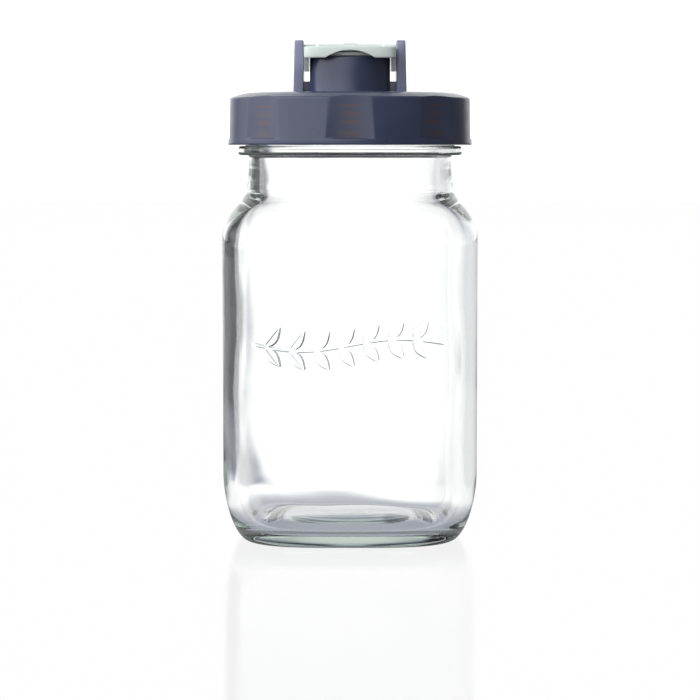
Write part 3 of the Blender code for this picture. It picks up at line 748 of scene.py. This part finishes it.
def flute_angles():
    """Angles round the lid, close together at each flute's edges."""
    sector = 360 / FLUTE_COUNT
    half = math.degrees(FLUTE_HALF_ANGLE)
    near = np.array(FLUTE_NEAR_DEG)
    edge = np.concatenate([-near[::-1], [0.0], near])
    floor = np.linspace(-half + FLUTE_FLOOR_DEG, half - FLUTE_FLOOR_DEG, 15)
    land = np.linspace(half + FLUTE_LAND_DEG, sector - half - FLUTE_LAND_DEG, 14)
    one = np.concatenate([edge - half, floor, edge + half, land])
    return np.radians(np.concatenate([one + sector * k for k in range(FLUTE_COUNT)]) - 90)


def flute_reach(angles):
    """Distance from the axis to the flutes' concave floor, far out between the flutes."""
    half_chord = SKIRT_RADIUS * math.sin(FLUTE_HALF_ANGLE)
    sagitta = FLUTE_DEPTH - SKIRT_RADIUS * (1 - math.cos(FLUTE_HALF_ANGLE))
    radius = (half_chord**2 + sagitta**2) / (2 * sagitta)
    centre = SKIRT_RADIUS - FLUTE_DEPTH + radius
    sector = 2 * math.pi / FLUTE_COUNT
    away = np.mod(angles + math.pi / 2 + sector / 2, sector) - sector / 2
    inside = radius**2 - (centre * np.sin(away)) ** 2
    reach = centre * np.cos(away) - np.sqrt(np.maximum(inside, 0))
    return np.where(inside > 0, reach, SKIRT_RADIUS * 2)


def soft_min(a, b, width):
    """The lower of two values, rounded where they cross."""
    h = np.clip(0.5 + 0.5 * (b - a) / width, 0, 1)
    return b + (a - b) * h - width * h * (1 - h)


def lid_outside():
    """Radii and heights, from the skirt's foot up and over the deck to the foot of the spout."""
    edge_z = DECK_Z - CROWN_DROP
    edge_r = SKIRT_RADIUS - SKIRT_DRAFT - DECK_EDGE_ROUND
    foot = (SKIRT_RADIUS - SKIRT_FOOT_ROUND, LID_Z + SKIRT_FOOT_ROUND)
    outline = arc(foot, SKIRT_FOOT_ROUND, -90, 0, 4)
    ledge_z = LID_Z + FLUTE_LEDGE
    outline += line(outline[-1], (SKIRT_RADIUS, ledge_z - FLUTE_LIP), 3)
    outline.append((SKIRT_RADIUS - FLUTE_LIP_INSET, ledge_z))
    outline.append((SKIRT_RADIUS - 1.5 * FLUTE_LIP_INSET, ledge_z + FLUTE_LEDGE_RISE))
    outline += line(outline[-1], (SKIRT_RADIUS - SKIRT_DRAFT, edge_z - DECK_EDGE_ROUND), 40)
    outline += arc((edge_r, edge_z - DECK_EDGE_ROUND), DECK_EDGE_ROUND, 10, 78, 6)
    crown_radius = SKIRT_RADIUS - CROWN_WIDTH
    outline += bezier(
        outline[-1],
        (edge_r - CROWN_EDGE_PULL, DECK_Z - CROWN_DROP * CROWN_EDGE_SHARE),
        (crown_radius + CROWN_DECK_PULL, DECK_Z),
        (crown_radius, DECK_Z),
        14,
    )
    foot_r = SPOUT_RADIUS + SPOUT_FOOT_ROUND
    outline += line((crown_radius, DECK_Z), (foot_r, DECK_Z), 6)
    outline += arc((foot_r, DECK_Z + SPOUT_FOOT_ROUND), SPOUT_FOOT_ROUND, 270, 180, 5)[1:]
    return outline


def lid_inside():
    """Radii and heights, from the spout's foot over its rim, down the bore and out to the skirt's foot."""
    lip_z = SPOUT_TOP_Z - SPOUT_RIM_ROUND
    bore = SPOUT_RADIUS - SPOUT_WALL
    outline = line((SPOUT_RADIUS, DECK_Z + SPOUT_FOOT_ROUND), (SPOUT_RADIUS, lip_z), 3)
    outline += arc((SPOUT_RADIUS - SPOUT_RIM_ROUND, lip_z), SPOUT_RIM_ROUND, 15, 90, 5)
    outline += arc((bore + SPOUT_RIM_ROUND, lip_z), SPOUT_RIM_ROUND, 90, 180, 5)
    outline += line((bore, lip_z), (bore, DECK_UNDER_Z), 4)
    outline += line((bore, DECK_UNDER_Z), (SKIRT_INNER_RADIUS, DECK_UNDER_Z), 6)
    outline += line((SKIRT_INNER_RADIUS, DECK_UNDER_Z), (SKIRT_INNER_RADIUS, LID_Z + SKIRT_LEAD_IN), 44)
    outline += line(outline[-1], (SKIRT_INNER_RADIUS + SKIRT_LEAD_IN, LID_Z), 2)
    return outline


def paint_shade_streaks(lid):
    """Stores how strongly the painted shade of the thread behind the outer wall shows, highest in the middle
    of a flute.
    """
    painted_shade_share = lid.data.attributes.new("painted_thread_shade", "FLOAT", "POINT")
    points = np.zeros(len(lid.data.vertices) * 3)
    lid.data.vertices.foreach_get("co", points)
    points = points.reshape(-1, 3)
    turns = np.arctan2(points[:, 1], points[:, 0]) / (2 * math.pi) + 0.25
    radius = np.hypot(points[:, 0], points[:, 1])
    outer = radius > SKIRT_RADIUS - 2 * FLUTE_DEPTH
    thin = smooth_step((SKIRT_RADIUS - SKIRT_DRAFT / 2 - radius) / FLUTE_DEPTH) ** 3
    value = np.zeros(len(points))
    for rise, half, strength in PAINTED_SHADE_STREAKS:
        centre = LID_Z + rise + PAINTED_SHADE_STREAK_PITCH * turns
        value = np.maximum(value, strength * smooth_step(1 - np.abs(points[:, 2] - centre) / half))
    painted_shade_share.data.foreach_set("value", value * thin * outer)


def make_lid_shell(slate):
    angles = flute_angles()
    outside = rings_at(lid_outside(), angles, lambda z: 2.0)
    reach = flute_reach(angles)
    for row in outside:
        radius = np.hypot(row[:, 0], row[:, 1])
        if row[0, 2] > LID_Z + FLUTE_LEDGE + TOUCH:
            cut = soft_min(radius, reach, FLUTE_EDGE)
            row[:, :2] *= (cut / radius)[:, None]
    inside = rings_at(lid_inside(), angles, lambda z: 2.0)
    base_z = FINISH_Z + THREAD_START - THREAD_PITCH / 2
    for row in inside:
        z = row[0, 2]
        radius = math.hypot(row[0, 0], row[0, 1])
        if abs(radius - SKIRT_INNER_RADIUS) < TOUCH and z < DECK_UNDER_Z:
            depth = SKIRT_INNER_RADIUS - (FINISH_RADIUS + THREAD_DEPTH - THREAD_OVERLAP)
            height = depth * ridge(angles, z, base_z, LID_THREAD_LEAD, LID_RIDGE_HALF)
            row[:, :2] *= (1 - height / radius)[:, None]
    lid = skin("lid_shell", np.concatenate([outside, inside]), True)
    paint_shade_streaks(lid)
    shade(lid, angle_deg=50)
    finished(lid, slate, "lid", "slate_plastic", "screw_lid")


def ear_outline():
    """The ear's side view: round about the hinge at the back, with a rounded front corner."""
    back, front, root = PIVOT_Y + EAR_BACK, -EAR_FRONT, DECK_Z - DECK_THICKNESS / 2
    outline = [(back, root)]
    outline += arc((PIVOT_Y, PIVOT_Z), EAR_BACK, 0, 40, 8)
    outline.append((PIVOT_Y - EAR_TOP_BACK, EAR_TOP_Z))
    outline += arc((front + EAR_FRONT_ROUND, EAR_TOP_Z - EAR_FRONT_ROUND), EAR_FRONT_ROUND, 90, 180, 10)
    outline.append((front, root))
    return outline


def make_ears(painted_lighter_slate):
    height = EAR_TOP_Z - DECK_Z

    def place(y, z, outer):
        lean = EAR_DRAFT * (z - DECK_Z) / height
        return (EAR_INNER_X + outer * (EAR_THICKNESS - lean), y, z)

    right = extruded("ear_right", ear_outline(), place, 0, 1)
    left = mirrored("ear_left", right)
    for ear in (right, left):
        soften_edges(ear, EAR_EDGE, segments=3, angle_deg=50)
        reach = EAR_INNER_X + 2 * EAR_THICKNESS
        hole = rod(ear.name + "_hole", PIN_RADIUS + FIT_GAP, -reach, reach, segments=40)
        combine(ear, hole, "DIFFERENCE")
        baked(ear)
        shade(ear)
        finished(ear, painted_lighter_slate, "lid", "slate_plastic")


def make_webs(slate):
    inner, outer = SPOUT_RADIUS - SPOUT_WALL / 2, EAR_INNER_X + EAR_THICKNESS / 2
    root, top = DECK_Z - DECK_THICKNESS / 2, DECK_Z + WEB_HEIGHT
    outline = [(inner, root), (outer, root), (outer, top), (inner, top)]
    right = extruded("web_right", outline, frontways, -WEB_THICKNESS / 2, WEB_THICKNESS / 2)
    for web in (right, mirrored("web_left", right)):
        soften_edges(web, WEB_EDGE, segments=2, angle_deg=50)
        baked(web)
        shade(web)
        finished(web, slate, "lid", "slate_plastic")


# ---------------------------------------------------------------- flip cap and seals


def cap_plan(half_width, front_y, back_y, corner, bow):
    """Plan outline of the cap: straight sides and back, rounded front corners, a front that bows forward."""
    run = half_width - corner
    centre_y = front_y + bow + corner
    outline = [(-half_width, back_y)]
    outline += arc((-run, centre_y), corner, 180, 255, 10)
    for x in np.linspace(-run, run, 25)[1:-1]:
        outline.append((x, front_y + bow * (x / half_width) ** 2))
    outline += arc((run, centre_y), corner, 285, 360, 10)
    outline.append((half_width, back_y))
    return outline


def cheek_blank():
    """The right cheek, a tongue that hangs below the cap's side between spout and ear."""
    root_z, tip_z = CAP_UNDER_Z + CAP_PLATE / 2, cap_low.z
    back = PIVOT_Y - BARREL_RADIUS / 2
    outline = [
        (-CHEEK_FRONT_ROOT, root_z),
        (-CHEEK_FRONT_ROOT, CAP_SKIRT_Z),
        (-CHEEK_FRONT_TIP, tip_z),
        (CHEEK_BACK_TIP, tip_z),
        (back, CAP_SKIRT_Z),
        (back, root_z),
    ]
    return extruded("cheek_right", outline, sideways, CHEEK_INNER_X, CAP_HALF_WIDTH)


def slot_blank():
    """The right slot, which frees a springy tab so that its pin can snap into the ear."""
    middle = CAP_HALF_WIDTH - TAB_WIDTH - TAB_SLOT_WIDTH / 2
    front, back = PIVOT_Y - TAB_SLOT_LENGTH, PIVOT_Y + 2 * BARREL_RADIUS
    low, high = CAP_SKIRT_Z - CAP_WALL, PIVOT_Z + 2 * BARREL_RADIUS
    outline = [(front, low), (back, low), (back, high), (front, high)]
    return extruded("slot_right", outline, sideways, middle - TAB_SLOT_WIDTH / 2, middle + TAB_SLOT_WIDTH / 2)


def make_cap(mint):
    front_y = cap_low.y
    plan = cap_plan(CAP_HALF_WIDTH, front_y, PIVOT_Y, CAP_CORNER, CAP_BOW)
    cap = extruded("flip_cap_body", plan, upright, CAP_SKIRT_Z, CAP_TOP_Z)
    soften_edges(cap, CAP_EDGE, segments=4, angle_deg=60)
    open_back_y = PIVOT_Y + BARREL_RADIUS
    cavity = cap_plan(CHEEK_INNER_X, front_y + CAP_WALL, open_back_y, CAP_CORNER - CAP_WALL, CAP_BOW)
    combine(cap, extruded("cavity", cavity, upright, CAP_SKIRT_Z - CAP_WALL, CAP_UNDER_Z), "DIFFERENCE")
    cheek = cheek_blank()
    half, top = NUB_WIDTH / 2, cap_high.z
    nub = [
        (-half, PIVOT_Z),
        (half, PIVOT_Z),
        (half, top - NUB_CHAMFER_Z),
        (half - NUB_CHAMFER_X, top),
        (NUB_CHAMFER_X - half, top),
        (-half, top - NUB_CHAMFER_Z),
    ]
    stud = arc((0, 0), STUD_RADIUS, 0, 360, 48)[:-1]
    helpers = [
        rod("barrel", BARREL_RADIUS, -CAP_HALF_WIDTH, CAP_HALF_WIDTH, segments=64),
        cheek,
        mirrored("cheek_left", cheek),
        extruded("nub", nub, frontways, PIVOT_Y - NUB_DEPTH / 2, PIVOT_Y + NUB_DEPTH / 2),
        extruded("stud", stud, upright, plug_high.z - STUD_DEPTH, CAP_UNDER_Z + CAP_PLATE / 2),
        rod("pin", PIN_RADIUS, cap_low.x, cap_high.x, segments=48),
    ]
    for helper in helpers:
        combine(cap, helper, "UNION")
    radius = (NOTCH_HALF_WIDTH**2 + NOTCH_RISE**2) / (2 * NOTCH_RISE)
    notch = arc((0, CAP_SKIRT_Z + NOTCH_RISE - radius), radius, 0, 360, 160)[:-1]
    notch_blank = extruded("notch", notch, frontways, front_y - CAP_WALL, front_y + 2 * CAP_WALL)
    combine(cap, notch_blank, "DIFFERENCE")
    slot = slot_blank()
    for helper in (slot, mirrored("slot_left", slot)):
        combine(cap, helper, "DIFFERENCE")
    baked(cap)
    shade(cap, angle_deg=35)
    finished(cap, mint, "cap", "mint_plastic", "flip_cap")


def make_spout_seal(silicone):
    flange_z, top_z = SPOUT_TOP_Z + FIT_GAP, plug_high.z
    lip = SPOUT_RADIUS - SPOUT_WALL - SPOUT_SEAL_INSET
    edge_x, hole, lip_inner = plug_high.x - SEAL_EDGE, STUD_RADIUS + FIT_GAP, lip - SPOUT_SEAL_WALL
    profile = arc((edge_x, top_z - SEAL_EDGE), SEAL_EDGE, 90, 0, 4)
    profile += arc((edge_x, flange_z + SEAL_EDGE), SEAL_EDGE, 0, -90, 4)
    profile += [(lip, flange_z), (lip - FIT_GAP, plug_low.z + SEAL_EDGE), (lip - 2 * SEAL_EDGE, plug_low.z)]
    profile += [(lip_inner, plug_low.z), (lip_inner, flange_z), (hole, flange_z), (hole, top_z)]
    seal = turned("spout_seal_disc", profile, 96)
    finished(seal, silicone, "cap", "pale_silicone", "spout_seal")


def make_seal_ring(grey_seal):
    low, high = ring_low.z + SEAL_EDGE, ring_high.z - SEAL_EDGE
    outer, inner = ring_high.x - SEAL_EDGE, MOUTH_RADIUS + RIM_SEAL_INSET + SEAL_EDGE
    profile = arc((outer, high), SEAL_EDGE, 90, 0, 3) + arc((outer, low), SEAL_EDGE, 0, -90, 3)
    profile += arc((inner, low), SEAL_EDGE, 270, 180, 3) + arc((inner, high), SEAL_EDGE, 180, 90, 3)
    ring = turned("rim_seal_ring", profile, 128)
    finished(ring, grey_seal, "rim_seal", "grey_seal", "lid_seal_ring")


# ---------------------------------------------------------------- camera, light, floor

# Light meets many walls in the shoulder, the bead and the base, where fewer bounces leave black specks.
GLASS_BOUNCES = 32
GLOSSY_BOUNCES = 24

CAMERA_SENSOR = 36.0
CAMERA_CLIP = (0.05, 50.0)
CAMERA_DISTANCE = 1.007
CAMERA_HEIGHT = 0.148
CAMERA_LENS = 136.3
CAMERA_TILT = math.radians(4.425)


def make_camera():
    camera = bpy.data.objects.new("camera", bpy.data.cameras.new("camera"))
    bpy.context.scene.collection.objects.link(camera)
    camera.data.lens = CAMERA_LENS
    camera.data.sensor_width = CAMERA_SENSOR
    camera.data.clip_start, camera.data.clip_end = CAMERA_CLIP
    camera.location = (0.0, -CAMERA_DISTANCE, CAMERA_HEIGHT)
    camera.rotation_euler = (math.pi / 2 - CAMERA_TILT, 0.0, 0.0)
    bpy.context.scene.camera = camera


# The tent, which is what shows through the glass. The strips' levels are shares of the backdrop, and
# where a strip starts is x * y / (x * x + y * y), 0 on an axis and 0.5 in a corner.
BACKDROP = 1.30
STRIP_LEFT = 0.03
STRIP_RIGHT = 0.80
STRIP_FRONT = 0.55
STRIP_START = 0.23
STRIP_START_NEAR = 0.29
STRIP_SOFTNESS = 0.10
STRIP_SIDE_BLEND = 0.05
CEILING = 0.22
CEILING_RISE = (0.08, 0.40)
SHADE_TINT = (0.72, 0.79, 1.0)
WHITE = (1.0, 1.0, 1.0)

# The room, which is what lights the pieces and shows in their gloss.
ROOM_DIM = 0.13
ROOM_KEY = 2.3
ROOM_BACK = 1.15
KEY_SIDE = (-0.82, -0.50, 0.28)
KEY_SPREAD = (0.05, 0.95)
BACK_SPREAD = (0.65, 0.92)

# The floor. Its rings are squares of the distance from the jar's axis, in square metres.
FLOOR_SIZE = 6.0
FLOOR_GLOW = 1.006
FLOOR_BOUNCE = 0.16
FLOOR_SHEEN = 0.14
FLOOR_ROUGHNESS = 0.07
# Painted shadow: under the jar, the floor's glow seen through the glass drops to this share of the backdrop.
FLOOR_PAINTED_SHADOW = 0.45
FLOOR_NEAR_STRIPS = 0.80
# Rings over which the painted shadow under the jar fades out.
PAINTED_SHADOW_RING = (0.0022, 0.0060)
NEAR_RING = (0.008, 0.025)
FAR_RING = (0.10, 0.35)
STRIP_START_RING = (0.02, 0.40)


def ramp(nodes, value, start, end, low, high):
    """A soft step from low at start to high at end."""
    inputs = {"Value": value, "From Min": start, "From Max": end, "To Min": low, "To Max": high}
    return nodes.add("ShaderNodeMapRange", inputs, interpolation_type="SMOOTHSTEP").outputs["Result"]


def maths(nodes, operation, first, second):
    return nodes.add("ShaderNodeMath", {0: first, 1: second}, operation=operation).outputs["Value"]


def blend(nodes, factor, first, second):
    return nodes.add("ShaderNodeMix", {0: factor, 2: first, 3: second}).outputs[0]


def level_of(nodes, x, y):
    """The square of a point's distance from the jar's axis, or of a direction's level part."""
    return maths(nodes, "ADD", maths(nodes, "MULTIPLY", x, x), maths(nodes, "MULTIPLY", y, y))


def strips(nodes, x, y, start):
    """White along both axes, with a darker strip in each corner between them, darkest at the left back."""
    level = level_of(nodes, x, y)
    corner = maths(nodes, "DIVIDE", maths(nodes, "MULTIPLY", x, y), maths(nodes, "MAXIMUM", level, 0.0001))
    behind = ramp(nodes, y, -STRIP_SIDE_BLEND, STRIP_SIDE_BLEND, 0.0, 1.0)
    right = blend(nodes, behind, STRIP_FRONT, STRIP_RIGHT)
    left = blend(nodes, behind, STRIP_FRONT, STRIP_LEFT)
    full = maths(nodes, "ADD", start, STRIP_SOFTNESS)
    to_right = ramp(nodes, corner, start, full, 0.0, 1.0)
    to_left = ramp(nodes, maths(nodes, "MULTIPLY", corner, -1.0), start, full, 0.0, 1.0)
    return blend(nodes, to_left, blend(nodes, to_right, 1.0, right), left)


def shade_colour(nodes, path, tent):
    """The tent's dark parts are faintly lavender."""
    dark = ramp(nodes, tent, BACKDROP, 0.0, 0.0, 1.0)
    factor = maths(nodes, "MULTIPLY", dark, path["Is Transmission Ray"])
    return mixed(nodes, factor, WHITE, SHADE_TINT)


def make_world():
    """A white tent with dark strips in its four corners, which draw the edges of the glass."""
    world = bpy.data.worlds.new("studio")
    bpy.context.scene.world = world
    world.use_nodes = True
    nodes = Nodes(world.node_tree)
    direction = nodes.add("ShaderNodeTexCoord").outputs["Generated"]
    split = nodes.add("ShaderNodeSeparateXYZ", {"Vector": direction}).outputs
    sides = strips(nodes, split["X"], split["Y"], STRIP_START)
    above = ramp(nodes, split["Z"], *CEILING_RISE, BACKDROP, BACKDROP * CEILING)
    tent = maths(nodes, "MULTIPLY", sides, above)
    toward = nodes.add("ShaderNodeVectorMath", {0: direction, 1: KEY_SIDE}, operation="DOT_PRODUCT")
    key = ramp(nodes, toward.outputs["Value"], *KEY_SPREAD, ROOM_DIM, ROOM_KEY)
    room = maths(nodes, "MAXIMUM", key, ramp(nodes, split["Y"], *BACK_SPREAD, 0.0, ROOM_BACK))
    path = nodes.add("ShaderNodeLightPath").outputs
    strength = blend(nodes, path["Is Transmission Ray"], room, tent)
    strength = blend(nodes, path["Is Camera Ray"], strength, BACKDROP)
    background = world.node_tree.nodes["Background"]
    nodes.link(shade_colour(nodes, path, tent), background.inputs["Color"])
    nodes.link(strength, background.inputs["Strength"])


def white_acrylic():
    """Back-lit glossy acrylic. Through the glass it carries the tent's strips and a painted shadow that dims
    it under the jar.
    """
    made, nodes, shader = new_material("white_acrylic")
    place = nodes.add("ShaderNodeTexCoord").outputs["Object"]
    split = nodes.add("ShaderNodeSeparateXYZ", {"Vector": place}).outputs
    level = level_of(nodes, split["X"], split["Y"])
    start = ramp(nodes, level, *STRIP_START_RING, STRIP_START_NEAR, STRIP_START)
    sides = strips(nodes, split["X"], split["Y"], start)
    near = ramp(nodes, level, *NEAR_RING, 0.0, FLOOR_NEAR_STRIPS)
    far = ramp(nodes, level, *FAR_RING, near, 1.0)
    # Painted shadow under the jar, seen only through the glass.
    painted_shadow = ramp(nodes, level, *PAINTED_SHADOW_RING, FLOOR_PAINTED_SHADOW * BACKDROP, BACKDROP)
    tent = maths(nodes, "MULTIPLY", blend(nodes, far, 1.0, sides), painted_shadow)
    path = nodes.add("ShaderNodeLightPath").outputs
    strength = blend(nodes, path["Is Transmission Ray"], FLOOR_BOUNCE, tent)
    strength = blend(nodes, path["Is Camera Ray"], strength, FLOOR_GLOW)
    glow = nodes.add("ShaderNodeEmission", {"Color": shade_colour(nodes, path, tent), "Strength": strength})
    sheen = nodes.add("ShaderNodeBsdfGlossy", {"Roughness": FLOOR_ROUGHNESS})
    mix = nodes.add("ShaderNodeMixShader", {"Fac": FLOOR_SHEEN})
    nodes.link(glow.outputs["Emission"], mix.inputs[1])
    nodes.link(sheen.outputs["BSDF"], mix.inputs[2])
    nodes.link(mix.outputs["Shader"], made.node_tree.nodes["Material Output"].inputs["Surface"])
    made.node_tree.nodes.remove(shader)
    return made


def make_floor():
    bm = bmesh.new()
    bmesh.ops.create_grid(bm, x_segments=1, y_segments=1, size=FLOOR_SIZE)
    mesh = bpy.data.meshes.new("floor")
    bm.to_mesh(mesh)
    bm.free()
    floor = bpy.data.objects.new("floor", mesh)
    bpy.context.scene.collection.objects.link(floor)
    mesh.materials.append(white_acrylic())


def main():
    bpy.context.scene.view_settings.view_transform = "Standard"
    cycles = bpy.context.scene.cycles
    cycles.max_bounces = GLASS_BOUNCES
    cycles.transmission_bounces = GLASS_BOUNCES
    cycles.glossy_bounces = GLOSSY_BOUNCES
    make_camera()
    make_world()
    make_floor()
    glass = clear_glass()
    slate = slate_plastic()
    mint = moulded_plastic("mint_plastic", MINT, roughness=0.38, subsurface=0.25, grain=0.3 * MM)
    silicone = soft_rubber("pale_silicone", PALE_SILICONE, roughness=0.5)
    grey_seal = soft_rubber("grey_seal", GREY_SEAL, roughness=0.6)
    make_jar(glass)
    make_seal_ring(grey_seal)
    make_lid_shell(slate)
    make_ears(slate_plastic_painted_lighter())
    make_webs(slate)
    make_cap(mint)
    make_spout_seal(silicone)


main()
